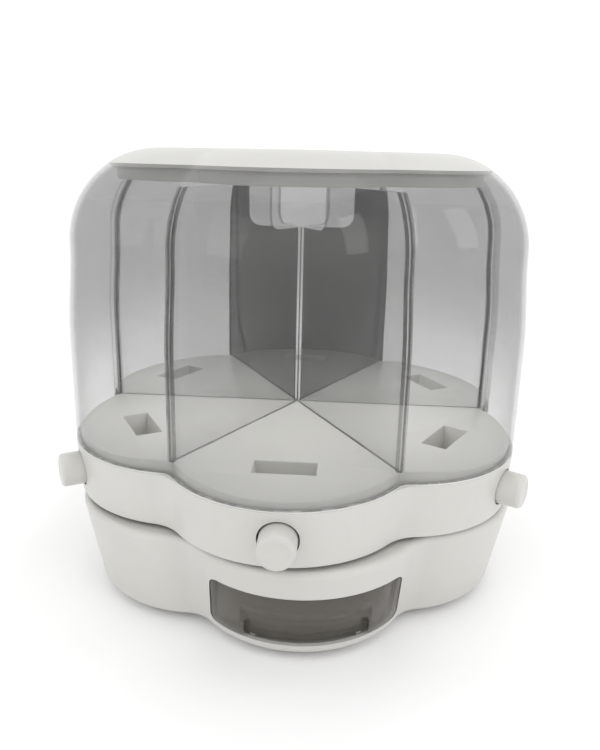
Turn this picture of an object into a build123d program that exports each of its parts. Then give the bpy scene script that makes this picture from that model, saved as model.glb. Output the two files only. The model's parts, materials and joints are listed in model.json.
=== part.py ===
from build123d import *
import os
from math import asin, atan2, cos, degrees, radians, sin, sqrt

# A rotating dry-food dispenser. A clear tank with six lobes stands on a turntable, and each lobe is a
# compartment with its own outlet, sliding gate and push button. The turntable runs on a ring of balls
# over a fixed base. Pushing the front button drops food down the base's chute into the drawer.
# Millimetres. The origin is on the turntable's axis, in the plane that the feet stand on. +Z is up and
# the drawer faces -Y.

# ---- Plan: six equal lobes round the axis ----
LOBES = 6
FRONT = -90.0                # direction of the front lobe
REST_TURN = -6.6             # the turntable's turn from the drawer, as it is left standing
TANK_CENTRE = 75.5           # axis to the middle of each lobe's arc, at the tank's foot
TANK_RADIUS = 75.5           # the arc's own radius there
SKIRT_DRAFT_CENTRE = 1.8     # how far the skirt's foot draws in, at the arc's middle
SKIRT_DRAFT_RADIUS = 0.5     # and in the arc's radius
BASE_CENTRE = 72.0
BASE_TOP_RADIUS = 79.0
BASE_FOOT_RADIUS = 67.8
GROOVE_FLAT = 4.5            # width of the flat strip where two lobes of the tank meet
SKIRT_GROOVE = 26.0          # radius of the hollow between two lobes of the skirt
BASE_GROOVE = 22.0

# ---- Heights ----
FOOT_HEIGHT = 2.2
COVER_THICKNESS = 1.8
BASE_HEIGHT = 58.6
TURN_GAP = 2.8               # open gap between the base and the turntable's skirt
SKIRT_HEIGHT = 32.4
FLOOR_RISE = 6.8             # from the ledge that carries the tank up to the compartment floor
FLOOR_FALL = 2.7             # how far the floor falls towards its rounded edge
WALL_HEIGHT = 115.0          # floor to the start of the shoulder
STRAIGHT_HEIGHT = 60.0       # floor to where the wall starts to lean in
WALL_LEAN = 3.5
SHOULDER_RADIUS = 55.0
LID_EDGE = 9.0               # height of the lid's visible edge
COLLAR_DEPTH = 9.0

# ---- Walls and clearances ----
BASE_WALL = 2.6
SKIRT_WALL = 2.4
TANK_WALL = 2.4
FLOOR_THICKNESS = 2.6
FLOOR_GAP = 0.9              # tank's inner face to the floor's edge
SEAL_THICKNESS = 0.8
WING_THICKNESS = 2.0
WING_GAP = 0.4
NOTCH_RADIUS = 34.5          # clear radius at the top of the dividers' middle
NOTCH_DEPTH = 28.0
NOTCH_CORNER = 8.0
FIT = 0.3                    # gap between pieces that slide past each other

# ---- Bearing ----
RACE_RADIUS = 62.0
RACE_WIDTH = 12.0
RACE_HEIGHT = 4.8
RACE_GAP = 2.5
BALL_RADIUS = 2.9
BALL_COUNT = 18
SPINDLE_RADIUS = 8.0
SPINDLE_RUNNING_GAP = 0.06
SPINDLE_BOSS_WALL = 5.0
SPINDLE_BOSS_DROP = 11.6     # the boss's length below the deck
SPINDLE_GRIP = 18.0          # spindle's length pressed into the tray's hub
SPINDLE_THREAD = 2.0         # radius of the screw in the spindle's foot
SPINDLE_THREAD_DEPTH = 14.0
SPINDLE_HEAD_RADIUS = 4.2
SPINDLE_HEAD_HEIGHT = 2.4
WASHER_THICKNESS = 1.6
WASHER_LAP = 4.0             # washer's edge beyond the spindle

# ---- Outlets, gates and buttons ----
OUTLET_INNER = 103.0         # the outlet's edges in the floor, from the axis
OUTLET_OUTER = 119.0
OUTLET_WIDTH = 36.0
MOUTH_INNER = 105.0          # the duct's lower mouth
MOUTH_OUTER = 115.0
MOUTH_WIDTH = 30.0
DUCT_WALL = 1.8
GATE_TRAVEL = 11.5
GATE_WIDTH = 44.0
GATE_THICKNESS = 2.5
GATE_LAP = 1.5               # how far the shut gate covers past the mouth
RETAINER_THICKNESS = 2.5
RAIL_WIDTH = 2.0
RAIL_HEIGHT = 3.4
TAB_WIDTH = 12.0             # spring seats on the retainer and the gate
TAB_THICKNESS = 3.0
PEG_LENGTH = 4.0
POST_WIDTH = 14.0            # gate's upright that carries the button's stem
POST_THICKNESS = 7.0
GATE_HEEL = 12.3             # gate's length inside the mouth
BUTTON_RADIUS = 10.3
BUTTON_HOLE_GAP = 1.1
BUTTON_PROUD = 12.6          # button's face beyond the skirt
BUTTON_LENGTH = 21.5
BUTTON_WALL = 2.0
BUTTON_ROUND = 2.4
BUTTON_DROP = 16.2           # button's axis below the tank's ledge
STEM_RADIUS = 4.0
STEM_SOCKET_WALL = 1.6
SPRING_RADIUS = 3.4
SPRING_WIRE = 0.35
SPRING_COILS = 8
SPRING_LENGTH = 22.4
SPRING_PEG = 2.2

# ---- Base and drawer ----
BASE_TOP_ROUND = 4.5
BASE_FOOT_ROUND = 6.0
BASE_FLANGE = 2.6
RIM_WIDTH = 9.0              # base shell's top rim round the deck
DECK_THICKNESS = 3.0
DECK_STEP = 4.0              # width of the step that the deck rests on
DRAWER_WIDTH = 107.6
DRAWER_HEIGHT = 32.4
DRAWER_FOOT = 12.4
DRAWER_BACK = 62.0           # drawer's back, from the axis
DRAWER_WALL = 2.2
DRAWER_FRONT_WALL = 3.0
DRAWER_GAP = 0.7             # gap all round the drawer's front
PULL_WIDTH = 70.0
PULL_HEIGHT = 14.6
PULL_DEPTH = 3.8
PULL_CORNER = 5.0
DRAWER_CORNER = 4.0
DRAWER_SIDE_INSET = 1.5      # cup's sides behind the front's edges
DRAWER_FLUSH = 0.2           # drawer's front behind the base's surface
BAY_WALL = 2.0
BAY_FLOOR = 1.8
BAY_TOP_GAP = 2.5            # bay's walls to the deck
RUNNER_WIDTH = 3.0
RUNNER_ASIDE = 30.0
LEG_RADIUS = 4.0
LEG_ASIDE = 36.0             # bay's legs, from its middle
LEG_ALONG = (8.0, 38.0)      # and from its back
CHUTE_LENGTH = 26.0
CHUTE_WIDTH = 48.0
CHUTE_WALL = 2.0
SCREW_RADIUS = 1.5
SCREW_HEAD_RADIUS = 3.2
SCREW_HEAD_HEIGHT = 1.6
BOSS_RADIUS = 4.5
COVER_SCREW_DEPTH = 10.0     # thread past the cover, and the hole is a little deeper
RETAINER_SCREW_DEPTH = 8.0
SCREW_TIP_GAP = 2.0
COVER_INSET = 6.8            # cover's edge inside the shell's foot
FLANGE_WIDTH = 11.0          # shell's flange at the foot
COVER_SCREW_REACH = 112.0    # cover screws' distance from the axis
COVER_SCREW_ANGLES = (30, 90, 150, 225, 315)
RETAINER_SCREW_REACH = 92.0
FOOT_PAD_RADIUS = 9.0
FOOT_PAD_REACH = 98.0
FOOT_PAD_ROUND = 0.6

# ---- Lid ----
LID_THICKNESS = 2.2
COLLAR_WALL = 2.0
LID_SEAL_WIDTH = 2.0
LID_SEAL_HEIGHT = 3.0
GRIP_RADIUS = 31.0
GRIP_DEPTH = 16.0
GRIP_BAR = 14.0
GRIP_BAR_THICKNESS = 4.0
GRIP_BAR_DROP = 1.0          # bar's top below the lid's
GRIP_WALL = 1.8
ROOF_INSET = 6.0             # lid's hollow inside its edge

# ---- Levels that follow ----
LOBE_STEP = 360 / LOBES
HALF_STEP = LOBE_STEP / 2
BASE_FOOT = FOOT_HEIGHT + COVER_THICKNESS
BASE_TOP = BASE_FOOT + BASE_HEIGHT
SKIRT_FOOT = BASE_TOP + TURN_GAP
LEDGE = SKIRT_FOOT + SKIRT_HEIGHT
FLOOR = LEDGE + FLOOR_RISE
TANK_FOOT = LEDGE + SEAL_THICKNESS
SHOULDER = FLOOR + WALL_HEIGHT
TOP = SHOULDER + SHOULDER_RADIUS
SEAM = TOP - LID_EDGE
TANK_REACH = TANK_CENTRE + TANK_RADIUS
FLOOR_RADIUS = TANK_RADIUS - TANK_WALL - FLOOR_GAP
BALL_LEVEL = BASE_TOP + RACE_HEIGHT + RACE_GAP / 2
RETAINER_FOOT = BASE_TOP + 2 * RACE_HEIGHT + RACE_GAP
RETAINER_TOP = RETAINER_FOOT + RETAINER_THICKNESS
GATE_FOOT = RETAINER_TOP + FIT
GATE_TOP = GATE_FOOT + GATE_THICKNESS
DUCT_FOOT = GATE_TOP + FIT
BUTTON_LEVEL = LEDGE - BUTTON_DROP
BUTTON_FACE = TANK_REACH + BUTTON_PROUD - SKIRT_DRAFT_CENTRE / 2
BUTTON_REAR = BUTTON_FACE - BUTTON_LENGTH
GATE_REAR = BUTTON_REAR - 3.5
STEM_END = BUTTON_FACE - BUTTON_WALL - 1
WINDOW_INNER = MOUTH_OUTER + GATE_LAP
WINDOW_OUTER = WINDOW_INNER + MOUTH_OUTER - MOUTH_INNER + 1
GATE_INNER = MOUTH_INNER - GATE_HEEL
SPRING_SEAT = GATE_INNER - SPRING_LENGTH
DRAWER_TOP = DRAWER_FOOT + DRAWER_HEIGHT
CHUTE_FOOT = DRAWER_TOP + 1.6
CHUTE_MIDDLE = (MOUTH_INNER + MOUTH_OUTER) / 2
SPINDLE_FOOT = BASE_TOP - DECK_THICKNESS - SPINDLE_BOSS_DROP - FIT
SPINDLE_TOP = RETAINER_TOP + SPINDLE_GRIP
TAB_TOP = BUTTON_LEVEL + SPRING_RADIUS + 1
BOX_LOW = (Align.CENTER, Align.CENTER, Align.MIN)
OUTWARD = (Align.MIN, Align.CENTER, Align.MIN)


def lobe_direction(number):
    return FRONT + LOBE_STEP * number


def lobe_point(centre, radius, direction, bearing):
    """A point on one lobe's arc, BEARING degrees round it from the lobe's outermost point."""
    middle = Vector(centre, 0).rotate(Axis.Z, direction)
    return middle + Vector(radius, 0).rotate(Axis.Z, direction + bearing)


def lobed_face(centre, radius, flat=0.0, hollow=0.0):
    """Six arcs that meet in grooves, in flats across the grooves, or in hollows of a radius."""
    reach = HALF_STEP + degrees(asin((centre * sin(radians(HALF_STEP)) - flat / 2) / radius))
    if hollow:
        away = groove_reach(centre, radius + hollow)
        aside = radians(HALF_STEP)
        reach = degrees(atan2(away * sin(aside), away * cos(aside) - centre))
    edges = []
    for number in range(LOBES):
        here = lobe_direction(number)
        start = lobe_point(centre, radius, here, -reach)
        end = lobe_point(centre, radius, here, reach)
        next_start = lobe_point(centre, radius, here + LOBE_STEP, -reach)
        edges.append(ThreePointArc(start, lobe_point(centre, radius, here, 0), end))
        if flat:
            edges.append(Line(end, next_start))
        if hollow:
            bottom = Vector(away - hollow, 0).rotate(Axis.Z, here + HALF_STEP)
            edges.append(ThreePointArc(end, bottom, next_start))
    return make_face(edges)


def groove_reach(centre, radius, flat=0.0):
    """Axis to the groove between two lobes."""
    side = centre * sin(radians(HALF_STEP)) - flat / 2
    return centre * cos(radians(HALF_STEP)) + sqrt(radius**2 - side**2)


def lobed_prism(centre, radius, low, high, flat=0.0):
    return Pos(0, 0, low) * extrude(lobed_face(centre, radius, flat), high - low)


def box(inner, outer, width, low, high):
    """A block that runs outwards along +X from INNER to OUTER."""
    return Pos(inner, 0, low) * Box(outer - inner, width, high - low, align=OUTWARD)


def rod(radius, inner, outer, level):
    """A round bar along +X at a height."""
    return Pos(inner, 0, level) * Rot(0, 90, 0) * Cylinder(radius, outer - inner, align=BOX_LOW)


def round_bar(radius, low, high):
    return Pos(0, 0, low) * Cylinder(radius, high - low, align=BOX_LOW)


def at_lobe(shape, number):
    return Rot(0, 0, lobe_direction(number)) * shape


def at_groove(shape, number):
    return Rot(0, 0, lobe_direction(number) + HALF_STEP) * shape


def every_lobe(shape):
    return [at_lobe(shape, number) for number in range(LOBES)]


def every_groove(shape):
    return [at_groove(shape, number) for number in range(LOBES)]


# ---- The tank's outline at any height ----
def tank_reach(level, inset=0.0):
    """Axis to the wall's outermost line, or to a surface INSET inside it."""
    if level <= FLOOR + STRAIGHT_HEIGHT:
        return TANK_REACH - inset
    if level <= SHOULDER:
        part = (level - FLOOR - STRAIGHT_HEIGHT) / (WALL_HEIGHT - STRAIGHT_HEIGHT)
        return TANK_REACH - inset - WALL_LEAN * part * part * (3 - 2 * part)
    middle = TANK_REACH - WALL_LEAN - SHOULDER_RADIUS
    return middle + sqrt(max(0, (SHOULDER_RADIUS - inset) ** 2 - (level - SHOULDER) ** 2))


def tank_arc(level, inset=0.0, spare=0.0):
    """Centre, radius and groove flat of the lobes at a height. The plan shrinks towards the top."""
    share = tank_reach(level) / TANK_REACH
    wall = tank_reach(level) - tank_reach(level, inset)
    return TANK_CENTRE * share, TANK_RADIUS * share - wall - spare, GROOVE_FLAT * share


def shoulder_levels(low, high, count):
    """Heights spaced evenly round the shoulder's arc."""
    start = asin((low - SHOULDER) / SHOULDER_RADIUS)
    step = (asin((high - SHOULDER) / SHOULDER_RADIUS) - start) / count
    return [SHOULDER + SHOULDER_RADIUS * sin(start + step * turn) for turn in range(count + 1)]


def tank_form(low, high, inset=0.0, spare=0.0):
    """The solid inside the tank's surface from LOW, under the straight wall's end, to HIGH."""
    bend = FLOOR + STRAIGHT_HEIGHT
    straight = lobed_prism(*tank_arc(bend, inset, spare)[:2], low, bend, GROOVE_FLAT)
    lean = (SHOULDER - bend) / 5
    levels = [bend + lean * turn for turn in range(5)] + shoulder_levels(SHOULDER, high, 7)
    faces = [Pos(0, 0, level) * lobed_face(*tank_arc(level, inset, spare)) for level in levels]
    return straight + loft(faces)


def tank():
    """The clear tank: open below and above, with a slot for each divider inside its grooves."""
    shell = tank_form(TANK_FOOT, SEAM) - tank_form(TANK_FOOT - 1, SEAM + 1, TANK_WALL)
    wall = groove_reach(*tank_arc(FLOOR, TANK_WALL))
    rib = box(wall - 3.6, wall + 0.5, 1.5, FLOOR + FIT, SHOULDER - 15)
    aside = WING_THICKNESS / 2 + 0.15 + 0.75
    for number in range(LOBES):
        shell += at_groove(Pos(0, aside, 0) * rib, number)
        shell += at_groove(Pos(0, -aside, 0) * rib, number)
    return shell


def divider_star():
    """Six wings that meet on the axis, with a round-cornered notch at the top of the middle."""
    top = SEAM - COLLAR_DEPTH - 2
    low = FLOOR
    bend = FLOOR + STRAIGHT_HEIGHT
    lean = (SHOULDER - bend) / 4
    levels = [bend + lean * turn for turn in range(4)] + shoulder_levels(SHOULDER, top, 6)
    curve = [(groove_reach(*tank_arc(level, TANK_WALL)) - WING_GAP, level) for level in levels]
    notch = top - NOTCH_DEPTH
    round_start = (NOTCH_RADIUS - NOTCH_CORNER, notch)
    round_end = (NOTCH_RADIUS, notch + NOTCH_CORNER)
    edges = [
        Line((0, low), (curve[0][0], low)),
        Line((curve[0][0], low), curve[0]),
        Spline(curve, tangents=[(0, 1), (curve[-1][0] - curve[-2][0], curve[-1][1] - curve[-2][1])]),
        Line(curve[-1], (NOTCH_RADIUS, top)),
        Line((NOTCH_RADIUS, top), round_end),
        TangentArc(round_end, round_start, tangent=(0, -1)),
        Line(round_start, (0, notch)),
        Line((0, notch), (0, low)),
    ]
    wing = extrude(Plane.XZ * make_face(edges), WING_THICKNESS / 2, both=True)
    return Part() + every_groove(wing)


def tank_seal():
    """A flat ring under the tank's foot."""
    outer = lobed_prism(TANK_CENTRE, TANK_RADIUS - FIT, LEDGE, TANK_FOOT, GROOVE_FLAT)
    return outer - lobed_prism(TANK_CENTRE, TANK_RADIUS - TANK_WALL, LEDGE, TANK_FOOT, GROOVE_FLAT)


# ---- Turntable ----
def skirt_form(inset, low, high):
    """The skirt's drafted outline between two heights."""
    faces = []
    for level in (low, high):
        share = (LEDGE - level) / SKIRT_HEIGHT
        centre = TANK_CENTRE - SKIRT_DRAFT_CENTRE * share
        radius = TANK_RADIUS - SKIRT_DRAFT_RADIUS * share - inset
        faces.append(Pos(0, 0, level) * lobed_face(centre, radius, hollow=SKIRT_GROOVE + inset))
    return loft(faces, ruled=True)


def rectangle_at(inner, outer, width, level, grow=0.0):
    middle = (inner + outer) / 2
    return Pos(middle, 0, level) * Rectangle(outer - inner + 2 * grow, width + 2 * grow)


def duct(grow, low, high):
    """The passage from a floor outlet down to its gate, or the block round it."""
    foot = rectangle_at(MOUTH_INNER, MOUTH_OUTER, MOUTH_WIDTH, low, grow)
    head = rectangle_at(OUTLET_INNER, OUTLET_OUTER, OUTLET_WIDTH, high, grow)
    return loft([foot, head], ruled=True)


def tray():
    """Compartment floor, outlet ducts, ledge and skirt in one moulding."""
    under = FLOOR - FLOOR_THICKNESS
    edge_under = FLOOR - FLOOR_FALL - FLOOR_THICKNESS
    body = skirt_form(0, SKIRT_FOOT, LEDGE) + lobed_prism(TANK_CENTRE, FLOOR_RADIUS, LEDGE, FLOOR)
    edge = FLOOR - FLOOR_FALL
    slope = Polyline((OUTLET_OUTER, FLOOR), (TANK_REACH, FLOOR + 1), (TANK_REACH, edge), close=True)
    wedge = extrude(Plane.XZ * make_face(slope), TANK_RADIUS, both=True)
    body -= every_lobe(wedge)
    body -= skirt_form(SKIRT_WALL, SKIRT_FOOT, LEDGE - SKIRT_WALL)
    body -= lobed_prism(TANK_CENTRE, FLOOR_RADIUS - SKIRT_WALL, SKIRT_FOOT, edge_under)
    body -= round_bar(OUTLET_INNER + 8, SKIRT_FOOT, under)
    hub = round_bar(SPINDLE_RADIUS + SPINDLE_BOSS_WALL, RETAINER_TOP + 1, under)
    boss = Pos(RETAINER_SCREW_REACH, 0, 0) * round_bar(BOSS_RADIUS, RETAINER_TOP, under)
    rib = box(SPINDLE_RADIUS + 1, groove_reach(TANK_CENTRE, FLOOR_RADIUS), 1.8, edge_under - 10, under)
    body += hub
    body += every_groove(boss + rib)
    body += every_lobe(duct(DUCT_WALL, DUCT_FOOT, under))
    body -= every_lobe(duct(0, DUCT_FOOT, FLOOR))
    body -= round_bar(SPINDLE_RADIUS, RETAINER_TOP, SPINDLE_TOP)
    thread = round_bar(SCREW_RADIUS, RETAINER_TOP, RETAINER_TOP + RETAINER_SCREW_DEPTH + SCREW_TIP_GAP)
    body -= every_groove(Pos(RETAINER_SCREW_REACH, 0, 0) * thread)
    hole = rod(BUTTON_RADIUS + BUTTON_HOLE_GAP, BUTTON_REAR, BUTTON_FACE, BUTTON_LEVEL)
    body -= every_lobe(hole)
    return body


def gate_retainer():
    """Plate under the gates, with a window under each outlet, rails beside each gate and spring seats."""
    centre = TANK_CENTRE - SKIRT_DRAFT_CENTRE / 2
    radius = TANK_RADIUS - SKIRT_WALL - 3
    body = lobed_prism(centre, radius, RETAINER_FOOT, RETAINER_TOP)
    body -= round_bar(SPINDLE_RADIUS + SPINDLE_BOSS_WALL + 6, RETAINER_FOOT, RETAINER_TOP)
    low, high = RETAINER_FOOT, RETAINER_TOP
    window = box(MOUTH_INNER - 1, MOUTH_OUTER + 1, MOUTH_WIDTH + 2, low, high)
    relief = box(GATE_REAR - GATE_TRAVEL, TANK_REACH, 2 * BUTTON_RADIUS + 2, low, high)
    body -= every_lobe(window + relief)
    body -= every_groove(Pos(RETAINER_SCREW_REACH, 0, 0) * round_bar(SCREW_RADIUS, low, high))
    rail = box(GATE_INNER - GATE_TRAVEL, GATE_REAR, RAIL_WIDTH, high, high + RAIL_HEIGHT)
    aside = (GATE_WIDTH + RAIL_WIDTH) / 2 + FIT
    seat = box(SPRING_SEAT - TAB_THICKNESS, SPRING_SEAT, TAB_WIDTH, high, TAB_TOP)
    peg = rod(SPRING_PEG, SPRING_SEAT, SPRING_SEAT + PEG_LENGTH, BUTTON_LEVEL)
    body += every_lobe(Pos(0, aside, 0) * rail)
    body += every_lobe(Pos(0, -aside, 0) * rail)
    body += every_lobe(seat + peg)
    return body


def screw(length):
    """A pan-head screw: head below the origin, shank above."""
    head = round_bar(SCREW_HEAD_RADIUS, -SCREW_HEAD_HEIGHT, 0)
    head = fillet(head.edges().group_by(Axis.Z)[0], SCREW_HEAD_HEIGHT / 2)
    return head + round_bar(SCREW_RADIUS, 0, length)


def retainer_screws():
    fixing = screw(RETAINER_THICKNESS + RETAINER_SCREW_DEPTH)
    return Part() + every_groove(Pos(RETAINER_SCREW_REACH, 0, RETAINER_FOOT) * fixing)


def gate_plate():
    """Sliding plate with a window, a stem for the button and a peg for the spring."""
    plate = box(GATE_INNER, GATE_REAR, GATE_WIDTH, GATE_FOOT, GATE_TOP)
    plate -= box(WINDOW_INNER, WINDOW_OUTER, MOUTH_WIDTH + 1, GATE_FOOT, GATE_TOP)
    post_top = BUTTON_LEVEL + STEM_RADIUS + 1
    post = box(GATE_REAR - POST_THICKNESS, GATE_REAR, POST_WIDTH, GATE_FOOT, post_top)
    stem = rod(STEM_RADIUS, GATE_REAR, STEM_END, BUTTON_LEVEL)
    tab = box(GATE_INNER, GATE_INNER + TAB_THICKNESS, TAB_WIDTH, GATE_FOOT, TAB_TOP)
    peg = rod(SPRING_PEG, GATE_INNER - PEG_LENGTH, GATE_INNER, BUTTON_LEVEL)
    return plate + post + stem + tab + peg


def button():
    """Round cap with a socket that fits over the gate's stem."""
    cap = rod(BUTTON_RADIUS, BUTTON_REAR, BUTTON_FACE, BUTTON_LEVEL)
    cap = fillet(cap.edges().group_by(Axis.X)[-1], BUTTON_ROUND)
    inside = BUTTON_FACE - BUTTON_WALL
    cap -= rod(BUTTON_RADIUS - BUTTON_WALL, BUTTON_REAR, inside, BUTTON_LEVEL)
    socket = rod(STEM_RADIUS + STEM_SOCKET_WALL, BUTTON_REAR + 2, inside, BUTTON_LEVEL)
    return cap + socket - rod(STEM_RADIUS, BUTTON_REAR, STEM_END, BUTTON_LEVEL)


def gate_spring():
    """Compression coil between the retainer's seat and the gate."""
    height = SPRING_LENGTH - 2 * SPRING_WIRE - 0.2
    coil = Helix(height / SPRING_COILS, height, SPRING_RADIUS)
    wire = sweep(Plane(origin=coil @ 0, z_dir=coil % 0) * Circle(SPRING_WIRE), path=coil)
    return Pos(SPRING_SEAT + SPRING_WIRE + 0.1, 0, BUTTON_LEVEL) * Rot(0, 90, 0) * wire


# ---- Bearing and spindle ----
def race(low):
    """Flat ring with a ball groove in the face that meets the balls."""
    ring = round_bar(RACE_RADIUS + RACE_WIDTH / 2, low, low + RACE_HEIGHT)
    ring -= round_bar(RACE_RADIUS - RACE_WIDTH / 2, low, low + RACE_HEIGHT)
    return ring - Pos(0, 0, BALL_LEVEL) * Torus(RACE_RADIUS, BALL_RADIUS + FIT)


def ball_places(shape):
    """Copies of a shape round the bearing's ring."""
    step = 360 / BALL_COUNT
    return [Rot(0, 0, step * turn) * Pos(RACE_RADIUS, 0, 0) * shape for turn in range(BALL_COUNT)]


def ball_cage():
    half = RACE_GAP / 2 - FIT
    low, high = BALL_LEVEL - half, BALL_LEVEL + half
    ring = round_bar(RACE_RADIUS + RACE_WIDTH / 2 - 1, low, high)
    ring -= round_bar(RACE_RADIUS - RACE_WIDTH / 2 + 1, low, high)
    return ring - ball_places(round_bar(BALL_RADIUS + 0.1, low, high))


def bearing_balls():
    return Part() + ball_places(Pos(0, 0, BALL_LEVEL) * Sphere(BALL_RADIUS))


def spindle():
    """Pin pressed into the tray's hub, running in the deck's boss."""
    thread = round_bar(SPINDLE_THREAD, SPINDLE_FOOT, SPINDLE_FOOT + SPINDLE_THREAD_DEPTH)
    return round_bar(SPINDLE_RADIUS, SPINDLE_FOOT, SPINDLE_TOP) - thread


def spindle_washer():
    low = SPINDLE_FOOT - WASHER_THICKNESS
    return round_bar(SPINDLE_RADIUS + WASHER_LAP, low, SPINDLE_FOOT) - round_bar(SPINDLE_THREAD, low, SPINDLE_FOOT)


def spindle_screw():
    low = SPINDLE_FOOT - WASHER_THICKNESS
    head = round_bar(SPINDLE_HEAD_RADIUS, low - SPINDLE_HEAD_HEIGHT, low)
    head = fillet(head.edges().group_by(Axis.Z)[0], SPINDLE_HEAD_HEIGHT / 2)
    return head + round_bar(SPINDLE_THREAD, low, SPINDLE_FOOT + SPINDLE_THREAD_DEPTH - SCREW_TIP_GAP)


# ---- Base ----
def base_radius(level):
    share = (level - BASE_FOOT) / BASE_HEIGHT
    return BASE_FOOT_RADIUS + (BASE_TOP_RADIUS - BASE_FOOT_RADIUS) * share


def base_lobe(low, high, inset=0.0):
    """One lobe of the base, turned about its own upright axis."""
    foot, head = base_radius(low) - inset, base_radius(high) - inset
    outline = Polygon((0, low), (foot, low), (head, high), (0, high), align=None)
    return Pos(BASE_CENTRE, 0, 0) * revolve(Plane.XZ * outline, Axis.Z)


def base_form(low, high, inset=0.0, low_round=0.0, high_round=0.0):
    """The base's tapering six-lobed form."""
    faces = []
    for level in (low, high):
        outline = lobed_face(BASE_CENTRE, base_radius(level) - inset, hollow=BASE_GROOVE + inset)
        faces.append(Pos(0, 0, level) * outline)
    form = loft(faces, ruled=True)
    if high_round:
        form = fillet(form.edges().group_by(Axis.Z)[-1], high_round)
        form = fillet(form.edges().group_by(Axis.Z)[0], low_round)
    return form


def drawer_opening(grow):
    """The space that the drawer's front fills, as a block through the front lobe."""
    block = Box(DRAWER_WIDTH + 2 * grow, TANK_REACH, DRAWER_HEIGHT + 2 * grow)
    block = fillet(block.edges().filter_by(Axis.Y), DRAWER_CORNER + grow)
    middle = DRAWER_FOOT + DRAWER_HEIGHT / 2
    return Pos(0, -DRAWER_BACK - TANK_REACH / 2, middle) * block


def base_shell():
    """Outer wall with a rounded top rim that carries the deck and a flange that carries the cover."""
    shell = base_form(BASE_FOOT, BASE_TOP, 0, BASE_FOOT_ROUND, BASE_TOP_ROUND)
    shell -= base_form(BASE_FOOT + BASE_FLANGE, BASE_TOP - DECK_THICKNESS, BASE_WALL)
    rim = BASE_TOP_RADIUS - RIM_WIDTH
    shell -= lobed_prism(BASE_CENTRE, rim, BASE_TOP - DECK_THICKNESS / 2, BASE_TOP)
    shell -= lobed_prism(BASE_CENTRE, rim - DECK_STEP, BASE_TOP - DECK_THICKNESS, BASE_TOP)
    foot = BASE_FOOT_RADIUS - FLANGE_WIDTH
    shell -= lobed_prism(BASE_CENTRE, foot, BASE_FOOT, BASE_FOOT + BASE_FLANGE)
    return shell - drawer_opening(DRAWER_GAP)


def base_deck():
    """Plate in the shell's top rim, with the chute, the spindle's boss and the screw bosses."""
    low = BASE_TOP - DECK_THICKNESS
    radius = BASE_TOP_RADIUS - RIM_WIDTH - 0.2
    deck = lobed_prism(BASE_CENTRE, radius, BASE_TOP - DECK_THICKNESS / 2, BASE_TOP)
    deck += lobed_prism(BASE_CENTRE, radius - DECK_STEP, low, BASE_TOP)
    deck += round_bar(SPINDLE_RADIUS + SPINDLE_BOSS_WALL, low - SPINDLE_BOSS_DROP, low)
    deck += at_cover_screws(round_bar(BOSS_RADIUS, BASE_FOOT, low))
    deck -= at_cover_screws(round_bar(SCREW_RADIUS, BASE_FOOT, BASE_FOOT + COVER_SCREW_DEPTH + SCREW_TIP_GAP))
    inner_edge, outer_edge = CHUTE_MIDDLE - CHUTE_LENGTH / 2, CHUTE_MIDDLE + CHUTE_LENGTH / 2
    width = CHUTE_WIDTH + 2 * CHUTE_WALL
    outer = box(inner_edge - CHUTE_WALL, outer_edge + CHUTE_WALL, width, CHUTE_FOOT, low)
    inner = box(inner_edge, outer_edge, CHUTE_WIDTH, CHUTE_FOOT, BASE_TOP)
    deck = deck + at_lobe(outer, 0) - at_lobe(inner, 0)
    return deck - round_bar(SPINDLE_RADIUS + SPINDLE_RUNNING_GAP, low - SPINDLE_BOSS_DROP, BASE_TOP)


def drawer_bay():
    """Channel that guides the drawer: floor with two runners, side walls and a back."""
    low = BASE_FOOT + BASE_FLANGE + FIT
    high = BASE_TOP - DECK_THICKNESS - BAY_TOP_GAP
    half = DRAWER_WIDTH / 2 - DRAWER_SIDE_INSET + 2 * FIT
    back = DRAWER_BACK - 2 * FIT
    floor = low + BAY_FLOOR
    outer = box(back - BAY_WALL, TANK_REACH, 2 * (half + BAY_WALL), low, high)
    inner = box(back, TANK_REACH, 2 * half, floor, high)
    runner = box(back, TANK_REACH, RUNNER_WIDTH, floor, DRAWER_FOOT - FIT)
    runners = Pos(0, RUNNER_ASIDE, 0) * runner + Pos(0, -RUNNER_ASIDE, 0) * runner
    clear = DRAWER_FLUSH + DRAWER_FRONT_WALL + 2 * FIT
    bay = at_lobe(outer - inner + runners, 0) & base_form(low, high, clear)
    for across in (-LEG_ASIDE, LEG_ASIDE):
        for along in LEG_ALONG:
            bay += Pos(across, -back - along, 0) * round_bar(LEG_RADIUS, BASE_FOOT, floor - BAY_FLOOR / 2)
    return bay


def at_cover_screws(shape):
    """Copies of a shape at the cover's screws."""
    return [Rot(0, 0, angle) * Pos(COVER_SCREW_REACH, 0, 0) * shape for angle in COVER_SCREW_ANGLES]


def base_cover():
    """Bottom plate, screwed up against the shell's flange."""
    cover = lobed_prism(BASE_CENTRE, BASE_FOOT_RADIUS - COVER_INSET, FOOT_HEIGHT, BASE_FOOT)
    return cover - at_cover_screws(round_bar(SCREW_RADIUS, FOOT_HEIGHT, BASE_FOOT))


def cover_screws():
    fixing = Pos(0, 0, FOOT_HEIGHT) * screw(COVER_THICKNESS + COVER_SCREW_DEPTH)
    return Part() + at_cover_screws(fixing)


def feet():
    """Six round rubber pads."""
    pad = round_bar(FOOT_PAD_RADIUS, 0, FOOT_HEIGHT)
    pad = fillet(pad.edges().group_by(Axis.Z)[0], FOOT_PAD_ROUND)
    return Part() + every_groove(Pos(FOOT_PAD_REACH, 0, 0) * pad)


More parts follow.
